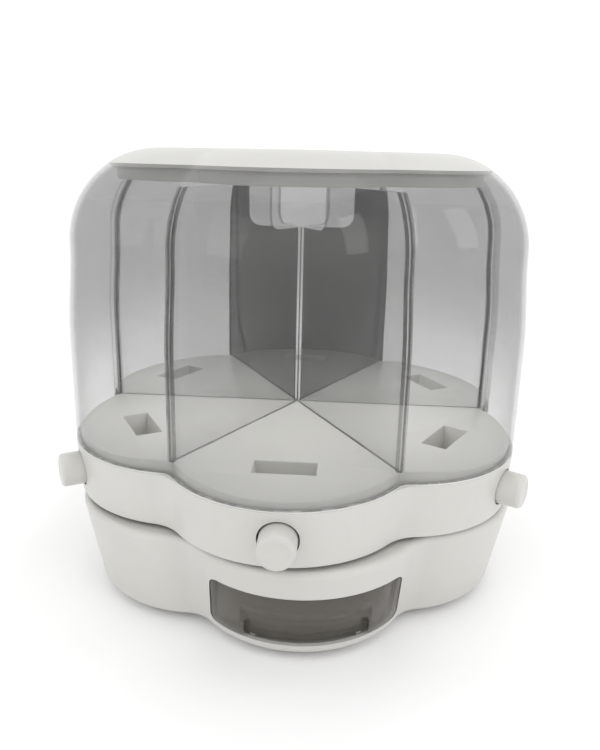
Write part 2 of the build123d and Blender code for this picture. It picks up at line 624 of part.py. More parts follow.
# ---- Drawer ----
def drawer():
    """Clear cup whose front follows the base's front lobe, with a finger recess along its foot."""
    skin = DRAWER_FLUSH
    front = at_lobe(base_lobe(DRAWER_FOOT, DRAWER_TOP, skin), 0)
    hollow = at_lobe(base_lobe(DRAWER_FOOT, DRAWER_TOP, skin + DRAWER_FRONT_WALL), 0)
    recess = at_lobe(base_lobe(DRAWER_FOOT, DRAWER_TOP, skin + PULL_DEPTH), 0)
    behind = at_lobe(base_lobe(DRAWER_FOOT, DRAWER_TOP, skin + PULL_DEPTH + DRAWER_FRONT_WALL), 0)
    side = DRAWER_WIDTH / 2 - DRAWER_SIDE_INSET
    back = DRAWER_BACK + DRAWER_WALL
    floor = DRAWER_FOOT + DRAWER_WALL
    cup = box(DRAWER_BACK, TANK_REACH, 2 * side, DRAWER_FOOT, DRAWER_TOP)
    inner = box(back, TANK_REACH, 2 * (side - DRAWER_WALL), floor, DRAWER_TOP)
    length = TANK_REACH - DRAWER_BACK
    place = Pos(0, -DRAWER_BACK - length / 2, DRAWER_FOOT)
    pull = Box(PULL_WIDTH, length, 2 * PULL_HEIGHT)
    pull = place * fillet(pull.edges().filter_by(Axis.Y).sort_by(Axis.Z)[-2:], PULL_CORNER)
    backing = place * Box(PULL_WIDTH + 2 * DRAWER_WALL, length, 2 * (PULL_HEIGHT + DRAWER_WALL))
    solid = (drawer_opening(0) & (front - hollow)) + (at_lobe(cup, 0) & front)
    food = (at_lobe(inner, 0) & hollow) - (backing - behind)
    return solid - food - (pull - recess)


# ---- Lid ----
def lid_collar_arc(inset):
    """Centre and radius of outlines just inside the tank's mouth."""
    return tank_arc(SEAM, TANK_WALL, FIT + 0.1 + inset)[:2]


def lid_shell():
    """Lid whose edge carries on the tank's shoulder, with a collar below and a bar over the grip well."""
    levels = shoulder_levels(SEAM, TOP, 4)
    cap = loft([Pos(0, 0, level) * lobed_face(*tank_arc(level)) for level in levels])
    collar = lobed_prism(*lid_collar_arc(LID_SEAL_WIDTH), SEAM - COLLAR_DEPTH, SEAM)
    hollow = lobed_prism(*lid_collar_arc(LID_SEAL_WIDTH + COLLAR_WALL), SEAM - COLLAR_DEPTH, SEAM)
    roof = shoulder_levels(SEAM, TOP - LID_THICKNESS, 4)
    inside = [tank_arc(level, LID_THICKNESS, ROOF_INSET) for level in roof]
    void = loft([Pos(0, 0, level) * lobed_face(*outline) for level, outline in zip(roof, inside)])
    well = round_bar(GRIP_RADIUS, TOP - LID_THICKNESS, TOP)
    lid = cap - void + (collar - hollow) - well
    bar_top = TOP - GRIP_BAR_DROP
    bar_foot = bar_top - GRIP_BAR_THICKNESS
    bar = Pos(0, 0, bar_foot) * Box(2 * GRIP_RADIUS + 1, GRIP_BAR, GRIP_BAR_THICKNESS, align=BOX_LOW)
    return lid + (bar & round_bar(GRIP_RADIUS, bar_foot, bar_top))


def grip_cup():
    """Cup that closes the grip well from below."""
    high = TOP - LID_THICKNESS
    low = high - GRIP_DEPTH
    cup = round_bar(GRIP_RADIUS + GRIP_WALL, low, high) - round_bar(GRIP_RADIUS, low + GRIP_WALL, high)
    return fillet(cup.edges().group_by(Axis.Z)[0], GRIP_WALL)


def lid_seal():
    """Soft ring round the collar."""
    high = SEAM - 2
    low = high - LID_SEAL_HEIGHT
    ring = lobed_prism(*lid_collar_arc(0), low, high)
    return ring - lobed_prism(*lid_collar_arc(LID_SEAL_WIDTH), low, high)


def write(shape, name):
    export_step(shape, f"parts/{name}.step")


os.makedirs("parts", exist_ok=True)
fixed = {
    "base_shell": base_shell(),
    "base_deck": base_deck(),
    "drawer_bay": drawer_bay(),
    "base_cover": base_cover(),
    "cover_screws": cover_screws(),
    "feet": feet(),
    "lower_race": race(BASE_TOP),
    "ball_cage": ball_cage(),
    "bearing_balls": bearing_balls(),
    "drawer": drawer(),
}
turning = {
    "upper_race": race(RETAINER_FOOT - RACE_HEIGHT),
    "spindle": spindle(),
    "spindle_washer": spindle_washer(),
    "spindle_screw": spindle_screw(),
    "tray": tray(),
    "gate_retainer": gate_retainer(),
    "retainer_screws": retainer_screws(),
    "tank_seal": tank_seal(),
    "tank": tank(),
    "divider_star": divider_star(),
    "lid_shell": lid_shell(),
    "grip_cup": grip_cup(),
    "lid_seal": lid_seal(),
}
for number in range(LOBES):
    turning[f"gate_plate_{number + 1}"] = at_lobe(gate_plate(), number)
    turning[f"button_{number + 1}"] = at_lobe(button(), number)
    turning[f"gate_spring_{number + 1}"] = at_lobe(gate_spring(), number)

for name, shape in fixed.items():
    write(shape, name)
for name, shape in turning.items():
    write(Rot(0, 0, REST_TURN) * shape, name)
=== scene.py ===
# %% [markdown]
# # A rotating cereal dispenser
# Six clear compartments stand on a turntable over a white base with a drawer. The mechanical model comes in
# first, as a frame of named nodes on named bodies, and it says where everything is. The cells below build the
# pieces that the eye rests on, write the finishes, and set the light and the camera.

# %% Load the frame
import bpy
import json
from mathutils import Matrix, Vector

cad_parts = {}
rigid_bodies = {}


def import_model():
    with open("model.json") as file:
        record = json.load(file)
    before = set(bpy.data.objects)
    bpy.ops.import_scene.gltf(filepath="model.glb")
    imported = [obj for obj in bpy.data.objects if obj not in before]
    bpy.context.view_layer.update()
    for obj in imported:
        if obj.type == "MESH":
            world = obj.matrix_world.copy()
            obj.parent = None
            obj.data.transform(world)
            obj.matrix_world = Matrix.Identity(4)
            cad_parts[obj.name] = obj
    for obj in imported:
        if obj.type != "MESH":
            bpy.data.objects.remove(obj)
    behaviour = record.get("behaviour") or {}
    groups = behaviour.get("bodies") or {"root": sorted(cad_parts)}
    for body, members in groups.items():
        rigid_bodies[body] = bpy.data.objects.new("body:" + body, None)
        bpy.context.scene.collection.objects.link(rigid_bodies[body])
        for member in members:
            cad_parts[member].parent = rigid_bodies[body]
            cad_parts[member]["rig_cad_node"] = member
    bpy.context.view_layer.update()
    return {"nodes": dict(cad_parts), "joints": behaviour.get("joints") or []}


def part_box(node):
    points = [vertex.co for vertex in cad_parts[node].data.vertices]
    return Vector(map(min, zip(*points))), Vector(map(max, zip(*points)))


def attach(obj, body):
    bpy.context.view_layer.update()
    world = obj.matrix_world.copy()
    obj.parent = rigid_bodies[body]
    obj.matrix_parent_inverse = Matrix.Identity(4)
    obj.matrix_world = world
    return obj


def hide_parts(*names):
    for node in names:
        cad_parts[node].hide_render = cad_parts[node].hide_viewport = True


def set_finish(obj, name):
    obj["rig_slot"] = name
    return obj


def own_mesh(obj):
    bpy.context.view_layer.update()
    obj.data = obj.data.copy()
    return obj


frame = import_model()

# %% Tools and units
import json
from math import asin, atan2, cos, pi, radians, sin, sqrt, tan

import bmesh
import bpy
from mathutils import Matrix, Vector

MM = 0.001
QUARTER = radians(90)
TOUCHING = 0.01 * MM         # points nearer than this are one point

# %% [markdown]
# ## Where things are
# Heights come from the frame's own boxes, so that a piece can't end up where the mechanical model isn't. The
# turntable is left a few degrees round from the drawer, and the way that a gate slides says by how much.

# %% Heights and directions from the frame
LOBES = 6
STEP = 2 * pi / LOBES
FRONT = -QUARTER
gate_joint = next(joint for joint in frame["joints"] if joint["name"] == "gate_slide_1")
inward = Vector(gate_joint["axis"])
TURN = atan2(-inward.y, -inward.x) - FRONT


def low(node):
    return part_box(node)[0].z


def high(node):
    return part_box(node)[1].z


BASE_FOOT, BASE_TOP = low("base_shell"), high("base_shell")
FLOOR = high("tray")
LEDGE = low("tank_seal")
TANK_FOOT, SEAM = low("tank"), high("tank")
STAR_TOP = high("divider_star")
TOP = high("lid_shell")
print("turned by", round(TURN / radians(1), 2), "degrees; floor at", round(FLOOR / MM, 1), "mm")

# %% [markdown]
# ## The six-lobed outline
# Seen from above the tank is a flower: six arcs that meet in grooves, with a narrow flat strip across each
# groove. One arc is a single point spun about its own lobe's axis. Copies of it are turned round the middle,
# and short edges close the gaps. Drawing one arc and repeating it keeps all six lobes alike.

# %% Sizes of the outline
TANK_CENTRE = 75.5 * MM      # axis to the middle of a lobe's arc
TANK_RADIUS = 75.5 * MM
TANK_WALL = 2.4 * MM
GROOVE_FLAT = 4.5 * MM
ARC_STEPS = 26
HOLLOW_STEPS = 8


def arc_reach(centre, radius, flat=0.0):
    """Angle from a lobe's outermost point to its end at the groove, seen from the arc's middle."""
    return STEP / 2 + asin((centre * sin(STEP / 2) - flat / 2) / radius)


def groove_reach(centre, radius, flat=0.0):
    """Distance from the axis to the groove."""
    side = centre * sin(STEP / 2) - flat / 2
    return centre * cos(STEP / 2) + sqrt(radius**2 - side**2)


def only(kind, geometry):
    return [element for element in geometry if isinstance(element, kind)]


def points(geometry):
    return only(bmesh.types.BMVert, geometry)


def edges(geometry):
    return only(bmesh.types.BMEdge, geometry)


def turn_round(bm, geometry, angle):
    matrix = Matrix.Rotation(angle, 3, "Z")
    bmesh.ops.rotate(bm, verts=points(geometry), cent=(0, 0, 0), matrix=matrix)


def six_times(bm, geometry):
    """Copies geometry made for the lobe along +X to all six lobes, and returns all of it."""
    everything = list(geometry)
    for number in range(1, LOBES):
        copy = bmesh.ops.duplicate(bm, geom=geometry)["geom"]
        turn_round(bm, copy, number * STEP)
        everything += copy
    return everything


def sweep_point(bm, start, centre, angle, steps):
    """Spins one point about an upright axis, and returns the new points and edges in order."""
    before = set(bm.verts)
    first = bm.verts.new(start)
    bmesh.ops.spin(bm, geom=[first], cent=centre, axis=(0, 0, 1), angle=angle, steps=steps,
                   use_merge=False, use_duplicate=False)
    made = [point for point in bm.verts if point not in before]
    return made + list({edge for point in made for edge in point.link_edges})


def lobed_ring(bm, centre, radius, level, flat=0.0, hollow=0.0, turn=TURN):
    """A closed loop of edges: six arcs, joined by sharp grooves, by flats, or by hollows of a radius."""
    reach = arc_reach(centre, radius, flat)
    if hollow:
        away = groove_reach(centre, radius + hollow)
        reach = atan2(away * sin(STEP / 2), away * cos(STEP / 2) - centre)
    start = (centre + radius * cos(reach), -radius * sin(reach), level)
    lobe = sweep_point(bm, start, (centre, 0, level), 2 * reach, ARC_STEPS)
    if hollow:
        middle = (away * cos(STEP / 2), away * sin(STEP / 2), level)
        end = (centre + radius * cos(reach), radius * sin(reach), level)
        lobe += sweep_point(bm, end, middle, -2 * (reach - STEP / 2), HOLLOW_STEPS)
    ring = six_times(bm, lobe)
    ends = [point for point in points(ring) if len(point.link_edges) == 1]
    ends.sort(key=lambda point: atan2(point.co.y, point.co.x))
    if flat:
        for pair in zip(ends[0::2], ends[1::2]):
            bm.edges.new(pair)
    turn_round(bm, points(ring), FRONT + turn)
    if not flat:
        bmesh.ops.remove_doubles(bm, verts=ends, dist=TOUCHING)
    return list({edge for point in points(ring) if point.is_valid for edge in point.link_edges})


def by_angle(geometry, turn):
    """Points in order round the axis, from just past the middle of the front lobe."""
    start = FRONT + turn + radians(1)
    return sorted(points(geometry), key=lambda point: (atan2(point.co.y, point.co.x) - start) % (2 * pi))


def next_lobed_ring(bm, ring, centre, radius, level, hollow, turn):
    """Extrudes a lobed ring, and fits the new points to another lobed outline."""
    made = bmesh.ops.extrude_edge_only(bm, edges=ring)["geom"]
    pattern = bmesh.new()
    lobed_ring(pattern, centre, radius, level, hollow=hollow, turn=turn)
    for point, spot in zip(by_angle(made, turn), by_angle(pattern.verts, turn)):
        point.co = spot.co
    pattern.free()
    return edges(made)


def raise_ring(bm, ring, places):
    """Extrudes a loop of edges through (level, share) places, where share is its size on plan."""
    level, share = places[0]
    for next_level, next_share in places[1:]:
        made = bmesh.ops.extrude_edge_only(bm, edges=ring)["geom"]
        grow = next_share / share
        bmesh.ops.scale(bm, verts=points(made), vec=(grow, grow, 1))
        bmesh.ops.translate(bm, verts=points(made), vec=(0, 0, next_level - level))
        ring = edges(made)
        level, share = next_level, next_share
    return ring


def arc(centre, radius, start, end, count=5):
    """Points round a quarter or any other part of a circle, angles in degrees."""
    angles = [radians(start + (end - start) * n / count) for n in range(count + 1)]
    return [(centre[0] + radius * cos(angle), centre[1] + radius * sin(angle)) for angle in angles]


# %% [markdown]
# ## From a mesh to a piece
# Every piece goes through the same last steps: merge what touches, point the faces outwards, and shade it
# smooth except along real edges. Then it rides on a body, takes a finish, and stands for its frame nodes.

# %% Finishing a piece
def face_out(bm):
    """Merges doubles and points every face outwards."""
    bmesh.ops.remove_doubles(bm, verts=bm.verts, dist=TOUCHING)
    bmesh.ops.recalc_face_normals(bm, faces=bm.faces)


def shade(bm, sharp=30):
    """Smooth shading, broken where two faces meet at more than SHARP degrees."""
    for face in bm.faces:
        face.smooth = True
    for edge in bm.edges:
        edge.smooth = edge.calc_face_angle(0) < radians(sharp)


def into_object(bm, name):
    mesh = bpy.data.meshes.new(name)
    bm.to_mesh(mesh)
    bm.free()
    made = bpy.data.objects.new(name, mesh)
    bpy.context.scene.collection.objects.link(made)
    return made


def cut(piece, tool):
    """Cuts a tool's shape out of a piece, and takes the tool away."""
    step = piece.modifiers.new("cut", "BOOLEAN")
    step.object = tool
    step.operation = "DIFFERENCE"
    step.solver = "EXACT"
    evaluated = piece.evaluated_get(bpy.context.evaluated_depsgraph_get())
    piece.data = bpy.data.meshes.new_from_object(evaluated)
    piece.modifiers.clear()
    bpy.data.objects.remove(tool)
    bm = bmesh.new()
    bm.from_mesh(piece.data)
    bmesh.ops.remove_doubles(bm, verts=bm.verts, dist=TOUCHING)
    shade(bm)
    bm.to_mesh(piece.data)
    bm.free()


def place_piece(made, body, slot, *nodes):
    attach(made, body)
    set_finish(made, slot)
    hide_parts(*nodes)
    print(made.name, "has", len(made.data.polygons), "faces and rides on", body)
    return made


# %% [markdown]
# ## The tank
# The tank is one clear moulding: straight walls that lean in slightly towards the shoulder, and a round
# shoulder that ends at the lid's seam. The plan shrinks towards the middle as the wall comes in, so the
# outline is raised ring by ring and scaled. A wall thickness is then grown inwards. Lofting curves would
# do as well, but rings keep the faces in tidy rows that catch the light evenly.

# %% Tank
STRAIGHT_TOP = FLOOR + 60 * MM
SHOULDER = FLOOR + 115 * MM
SHOULDER_RADIUS = 55 * MM
WALL_LEAN = 3.5 * MM
TANK_REACH = TANK_CENTRE + TANK_RADIUS


def tank_reach(level):
    """Axis to the tank's outermost line at a height."""
    if level <= STRAIGHT_TOP:
        return TANK_REACH
    if level <= SHOULDER:
        part = (level - STRAIGHT_TOP) / (SHOULDER - STRAIGHT_TOP)
        return TANK_REACH - WALL_LEAN * part * part * (3 - 2 * part)
    rise = min(level - SHOULDER, SHOULDER_RADIUS)
    return TANK_REACH - WALL_LEAN - SHOULDER_RADIUS + sqrt(SHOULDER_RADIUS**2 - rise**2)


def tank_share(level):
    return tank_reach(level) / TANK_REACH


def shoulder_levels(start, end, count):
    """Heights spaced evenly round the shoulder's arc."""
    first = asin((start - SHOULDER) / SHOULDER_RADIUS)
    last = asin(min(1, (end - SHOULDER) / SHOULDER_RADIUS))
    return [SHOULDER + SHOULDER_RADIUS * sin(first + (last - first) * n / count) for n in range(count + 1)]


def lean_levels(count=6):
    return [STRAIGHT_TOP + (SHOULDER - STRAIGHT_TOP) * n / count for n in range(count)]


def tank_rib(bm, side):
    """One of the two rails inside a groove that guide a divider's edge, up to the divider's top."""
    deep, wide = 2.4 * MM, 0.9 * MM
    aside = side * 1.85 * MM
    sunk = 0.4 * MM              # how far the rail reaches into the wall
    foot = FLOOR + 0.3 * MM
    levels = [foot] + lean_levels() + shoulder_levels(SHOULDER, STAR_TOP, 10)
    shares = [tank_share(level) for level in levels]
    wall = [groove_reach(TANK_CENTRE * share, TANK_RADIUS * share - TANK_WALL) for share in shares]
    section = bmesh.ops.create_grid(bm, x_segments=1, y_segments=1, size=0.5)["verts"]
    bmesh.ops.scale(bm, verts=section, vec=(deep, wide, 1))
    bmesh.ops.translate(bm, verts=section, vec=(wall[0] - deep / 2 + sunk, aside, levels[0]))
    faces = list({face for point in section for face in point.link_faces})
    everything = list(section)
    for number in range(1, len(levels)):
        made = bmesh.ops.extrude_face_region(bm, geom=faces)["geom"]
        rise = levels[number] - levels[number - 1]
        bmesh.ops.translate(bm, verts=points(made), vec=(wall[number] - wall[number - 1], 0, rise))
        faces = only(bmesh.types.BMFace, made)
        everything += points(made)
    return everything


def tank():
    bm = bmesh.new()
    ring = lobed_ring(bm, TANK_CENTRE, TANK_RADIUS, TANK_FOOT, GROOVE_FLAT)
    levels = [TANK_FOOT, FLOOR] + lean_levels() + shoulder_levels(SHOULDER, SEAM, 12)
    raise_ring(bm, ring, [(level, tank_share(level)) for level in levels])
    bmesh.ops.recalc_face_normals(bm, faces=bm.faces)
    bmesh.ops.solidify(bm, geom=bm.faces[:], thickness=TANK_WALL)
    for side in (-1, 1):
        for number in range(LOBES):
            rib = tank_rib(bm, side)
            turn_round(bm, rib, FRONT + TURN + STEP / 2 + number * STEP)
    face_out(bm)
    shade(bm)
    return place_piece(into_object(bm, "tank_shell"), "turntable", "smoky_clear_tank", "tank")


tank_shell = tank()

# %% [markdown]
# ## The dividers
# Six clear wings stand on the turntable's floor and slide into the tank's grooves. The real piece is one
# moulding, so the wings meet in a six-sided core. One wing is an outline filled, thickened and turned six
# times. Its inner end is left open, and the six open ends close on each other when the doubles are merged.

# %% Divider star
WING_THICKNESS = 2.0 * MM
WING_GAP = 0.5 * MM
NOTCH_RADIUS = 34.5 * MM
NOTCH_BOTTOM = STAR_TOP - 28 * MM
NOTCH_CORNER = 8 * MM
EDGE_ROUND = 0.35 * MM
CORE_ROUND = 0.9 * MM


def wing_outline():
    """The wing's corners in its own plane, from its foot at the core, out, up and back over the notch."""
    core = WING_THICKNESS / 2 / tan(STEP / 2)
    levels = [FLOOR] + lean_levels() + shoulder_levels(SHOULDER, STAR_TOP, 10)
    outline = [(core, FLOOR)]
    for level in levels:
        share = tank_share(level)
        wall = groove_reach(TANK_CENTRE * share, TANK_RADIUS * share - TANK_WALL, GROOVE_FLAT * share)
        outline.append((wall - WING_GAP, level))
    outline.append((NOTCH_RADIUS, STAR_TOP))
    for part in range(9):
        angle = QUARTER * part / 8
        outline.append((NOTCH_RADIUS - NOTCH_CORNER * (1 - cos(angle)),
                        NOTCH_BOTTOM + NOTCH_CORNER * (1 - sin(angle))))
    outline.append((core, NOTCH_BOTTOM))
    return outline


def divider_star():
    bm = bmesh.new()
    outline = [bm.verts.new((reach, -WING_THICKNESS / 2, level)) for reach, level in wing_outline()]
    side = bm.faces.new(outline)
    made = bmesh.ops.extrude_face_region(bm, geom=[side])["geom"]
    bmesh.ops.translate(bm, verts=points(made), vec=(0, WING_THICKNESS, 0))
    core = min(point.co.x for point in bm.verts) + TOUCHING
    inner_end = [face for face in bm.faces if all(point.co.x < core for point in face.verts)]
    bmesh.ops.delete(bm, geom=inner_end, context="FACES")
    wing = bm.verts[:] + bm.edges[:] + bm.faces[:]
    everything = six_times(bm, wing)
    turn_round(bm, everything, FRONT + TURN + STEP / 2)
    bmesh.ops.remove_doubles(bm, verts=bm.verts, dist=TOUCHING)
    bmesh.ops.holes_fill(bm, edges=[edge for edge in bm.edges if edge.is_boundary], sides=LOBES)
    face_out(bm)
    rims = [edge for edge in bm.edges if edge.calc_face_angle(0) > radians(75)]
    bmesh.ops.bevel(bm, geom=rims, affect="EDGES", offset=EDGE_ROUND, segments=2, profile=0.5, material=-1)
    corners = [edge for edge in bm.edges if at_core(edge)]
    bmesh.ops.bevel(bm, geom=corners, affect="EDGES", offset=CORE_ROUND, segments=3, profile=0.5, material=-1)
    face_out(bm)
    for face in bm.faces:
        face.material_index = 1 if face.calc_area() < 400 * MM**2 and thin(face) else 0
    shade(bm, 40)
    return place_piece(into_object(bm, "dividers"), "turntable", "clear_divider", "divider_star")


def at_core(edge):
    """True for the upright corners where two wings meet."""
    foot, head = (point.co for point in edge.verts)
    return abs(foot.z - head.z) > 50 * MM and foot.xy.length < 2 * WING_THICKNESS


def thin(face):
    """True for the narrow faces along a wing's edge."""
    reach = Vector(face.calc_center_median().xy)
    across = Vector((-reach.y, reach.x, 0)).normalized()
    return abs(face.normal.dot(across)) < 0.9


dividers = divider_star()

# %% [markdown]
# ## The lid
# The lid's edge carries on the tank's shoulder, and its top is flat, with a round well to grip it by. A bar
# crosses the well. The outline is raised round the last of the shoulder, drawn in to a circle, and turned
# down into the well. A collar below the roof reaches into the tank's mouth.

# %% Lid
LID_WALL = 2.2 * MM
GRIP_RADIUS = 31 * MM
GRIP_LIP = 2.4 * MM
BAR_WIDTH = 14 * MM
COLLAR_FOOT = low("lid_shell")
LID_PLAY = 0.4 * MM
SEAL_WIDTH = 2.0 * MM


def to_circle(geometry, radius, level):
    """Moves each point of a ring straight out or in to a circle."""
    for point in points(geometry):
        point.co = (*(point.co.xy.normalized() * radius), level)


def next_ring(bm, ring, radius, level):
    made = bmesh.ops.extrude_edge_only(bm, edges=ring)["geom"]
    to_circle(made, radius, level)
    return edges(made)


def lid_roof(bm):
    levels = shoulder_levels(SEAM, TOP, 7)
    share = tank_share(SEAM)
    ring = lobed_ring(bm, TANK_CENTRE * share, TANK_RADIUS * share, SEAM, GROOVE_FLAT * share)
    ring = raise_ring(bm, ring, [(level, tank_share(level)) for level in levels])
    for part in range(6):
        angle = QUARTER * part / 5
        radius = GRIP_RADIUS + GRIP_LIP * (1 - sin(angle))
        ring = next_ring(bm, ring, radius, TOP - GRIP_LIP * (1 - cos(angle)))
    bmesh.ops.recalc_face_normals(bm, faces=bm.faces)
    if bm.faces[:][0].normal.dot(Vector(bm.faces[:][0].calc_center_median())) < 0:
        bmesh.ops.reverse_faces(bm, faces=bm.faces)
    bmesh.ops.solidify(bm, geom=bm.faces[:], thickness=LID_WALL)


def collar(bm):
    share = tank_share(SEAM)
    centre = TANK_CENTRE * share
    outer = TANK_RADIUS * share - TANK_WALL - LID_PLAY - SEAL_WIDTH
    inner = outer - 2.0 * MM
    foot, head = COLLAR_FOOT, SEAM + 1.5 * MM
    for radius in (outer, inner):
        ring = lobed_ring(bm, centre, radius, foot)
        raise_ring(bm, ring, [(foot, 1), (head, 1)])
    for level in (foot, head):
        loops = [edge for edge in bm.edges if edge.is_boundary
                 and all(abs(point.co.z - level) < TOUCHING for point in edge.verts)]
        bmesh.ops.bridge_loops(bm, edges=loops)


def grip_bar(bm):
    """The bar across the well, rounded along its edges."""
    height = 4 * MM
    bar = bmesh.ops.create_cube(bm, size=1)["verts"]
    bmesh.ops.scale(bm, verts=bar, vec=(2 * (GRIP_RADIUS + 0.6 * MM), BAR_WIDTH, height))
    bmesh.ops.translate(bm, verts=bar, vec=(0, 0, TOP - 1 * MM - height / 2))
    long_edges = [edge for edge in {edge for point in bar for edge in point.link_edges}
                  if abs(edge.verts[0].co.x - edge.verts[1].co.x) > GRIP_RADIUS]
    made = bmesh.ops.bevel(bm, geom=long_edges, affect="EDGES", offset=1.6 * MM, segments=5,
                           profile=0.5, material=-1)
    turn_round(bm, list({point for face in made["faces"] for point in face.verts}), TURN)


def lid():
    bm = bmesh.new()
    lid_roof(bm)
    collar(bm)
    grip_bar(bm)
    face_out(bm)
    shade(bm)
    return place_piece(into_object(bm, "lid_cover"), "lid", "white_plastic", "lid_shell")


def spun(bm, section, axis, steps):
    """Turns a closed section, a list of points, a full turn about an axis through the middle."""
    profile = [bm.verts.new(point) for point in section]
    lines = [bm.edges.new(pair) for pair in zip(profile, profile[1:] + profile[:1])]
    bmesh.ops.spin(bm, geom=profile + lines, cent=(0, 0, 0), axis=axis, angle=2 * pi, steps=steps,
                   use_merge=True, use_duplicate=False)


def grip_cup():
    wall = 1.8 * MM
    head, foot = high("grip_cup"), low("grip_cup")
    inside = arc((GRIP_RADIUS - 3 * MM, foot + wall + 3 * MM), 3 * MM, 0, -90)
    outside = arc((GRIP_RADIUS + wall - 4 * MM, foot + 4 * MM), 4 * MM, -90, 0)
    rim = [(GRIP_RADIUS + wall, head), (GRIP_RADIUS, head)]
    outline = rim + inside + [(0, foot + wall), (0, foot)] + outside
    bm = bmesh.new()
    spun(bm, [(reach, 0, level) for reach, level in outline], (0, 0, 1), 96)
    face_out(bm)
    shade(bm)
    return place_piece(into_object(bm, "lid_grip_cup"), "lid", "white_plastic", "grip_cup")


lid_cover = lid()
lid_grip_cup = grip_cup()

# %% [markdown]
# ## The base
# The base is a white shell with the same six lobes and soft hollows between them, tapering to its foot. Its
# section is a list of (inset, level) corners, with arcs where an edge is round. Each corner becomes a lobed
# ring, extruded from the one before and fitted to its own outline, up the outside and back down the inside.
# The drawer's opening is cut through the front lobe afterwards.

# %% Rings along a section
def shell_from_section(bm, section, outline, turn=TURN):
    """Lobed rings along a closed section of (inset, level) corners.

    OUTLINE gives the centre, radius and hollow of the outer surface at a level.
    """
    ring = None
    for inset, level in section + section[:1]:
        centre, radius, hollow = outline(level)
        size = (centre, radius - inset, level)
        if ring is None:
            ring = lobed_ring(bm, *size, hollow=hollow + inset, turn=turn)
        else:
            ring = next_lobed_ring(bm, ring, *size, hollow + inset, turn)


def rounded_block(size, middle, corner, along="Y"):
    """A block with the four edges that run along one axis rounded."""
    bm = bmesh.new()
    block = bmesh.ops.create_cube(bm, size=1)["verts"]
    bmesh.ops.scale(bm, verts=block, vec=size)
    bmesh.ops.translate(bm, verts=block, vec=middle)
    number = "XYZ".index(along)
    chosen = [edge for edge in bm.edges
              if abs(edge.verts[0].co[number] - edge.verts[1].co[number]) > size[number] / 2]
    bmesh.ops.bevel(bm, geom=chosen, affect="EDGES", offset=corner, segments=8, profile=0.5, material=-1)
    face_out(bm)
    return into_object(bm, "cutter")


# %% Base shell
BASE_CENTRE = 72 * MM
BASE_TOP_RADIUS = 79 * MM
BASE_FOOT_RADIUS = 67.8 * MM
BASE_HOLLOW = 22 * MM
BASE_WALL = 2.6 * MM
DECK = 3.0 * MM
DRAWER_GAP = 0.7 * MM
DRAWER_WIDTH = 107.6 * MM
DRAWER_CORNER = 4 * MM


def base_radius(level):
    share = (level - BASE_FOOT) / (BASE_TOP - BASE_FOOT)
    return BASE_FOOT_RADIUS + (BASE_TOP_RADIUS - BASE_FOOT_RADIUS) * share


def base_outline(level):
    return BASE_CENTRE, base_radius(level), BASE_HOLLOW


def base_section():
    """From the flange's inner edge, under the foot, up the outside, over the rim and down the inside."""
    flange = 2.6 * MM
    under = BASE_TOP - DECK
    rim = 9 * MM
    foot_round, top_round = 6 * MM, 4.5 * MM
    return ([(11 * MM, BASE_FOOT)]
            + [(foot_round - reach, level) for reach, level in
               arc((0, BASE_FOOT + foot_round), foot_round, -90, -8, 7)]
            + [(top_round - reach, level) for reach, level in
               arc((0, BASE_TOP - top_round), top_round, 0, 90, 7)]
            + [(rim, BASE_TOP), (rim, BASE_TOP - DECK / 2), (rim + 4 * MM, BASE_TOP - DECK / 2),
               (rim + 4 * MM, under), (BASE_WALL, under), (BASE_WALL, BASE_FOOT + flange),
               (11 * MM, BASE_FOOT + flange)])


def base_shell():
    bm = bmesh.new()
    shell_from_section(bm, base_section(), base_outline, turn=0)
    face_out(bm)
    shade(bm)
    made = into_object(bm, "base_cover_shell")
    drawer_low, drawer_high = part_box("drawer")
    width = DRAWER_WIDTH + 2 * DRAWER_GAP
    height = drawer_high.z - drawer_low.z + 2 * DRAWER_GAP
    middle = (drawer_low.z + drawer_high.z) / 2
    opening = rounded_block((width, 0.12, height), (0, -0.13, middle), DRAWER_CORNER + DRAWER_GAP)
    cut(made, opening)
    return place_piece(made, "base", "white_plastic", "base_shell")


base_shell()

# %% [markdown]
# ## The turntable and the drawer
# The frame already holds these two mouldings at full detail, with ducts, bosses and ribs, but every edge is a
# knife edge. A copy of the frame's mesh is merged, its flat triangles are dissolved into whole faces, and the
# edges are given a small bevel. The bevel is held back where it would run over its neighbours. The narrow
# faces round the drawer's front are then marked for a darker finish, where plastic seen edge on looks darker,
# and so are the faces inside its finger recess, where the darker finish is painted shade.

# %% Rounded copies of frame nodes
def moulded_copy(node, name, body, slot, edge_round, keep=lambda edge: True,
                 mark=lambda face: False):
    """A rounded copy of a frame node. Faces that MARK picks take the piece's second finish."""
    bm = bmesh.new()
    bm.from_mesh(frame["nodes"][node].data)
    bmesh.ops.remove_doubles(bm, verts=bm.verts, dist=TOUCHING)
    bmesh.ops.dissolve_limit(bm, angle_limit=radians(1), verts=bm.verts, edges=bm.edges)
    sharp = [edge for edge in bm.edges
             if edge.is_manifold and edge.calc_face_angle(0) > radians(50) and keep(edge)]
    bmesh.ops.bevel(bm, geom=sharp, affect="EDGES", offset=edge_round, segments=3, profile=0.5, material=-1,
                    clamp_overlap=True)
    face_out(bm)
    for face in bm.faces:
        face.material_index = int(mark(face))
    shade(bm, 35)
    return place_piece(into_object(bm, name), body, slot, node)


def on_top(edge):
    """An edge of the floor or the ledge, where the eye reaches."""
    return min(point.co.z for point in edge.verts) > LEDGE - 0.5 * MM


def edge_or_painted_recess_shade(face):
    """A narrow face round the drawer's front, where edge-on plastic looks darker, or inside its finger recess,
    where the darker finish is painted shade.
    """
    deepest = 6 * MM             # from the front lobe's face to behind the recess
    centre = face.calc_center_median()
    out = Vector((centre.x, centre.y + BASE_CENTRE, 0))
    return out.length > base_radius(centre.z) - deepest and abs(face.normal.dot(out.normalized())) < 0.8


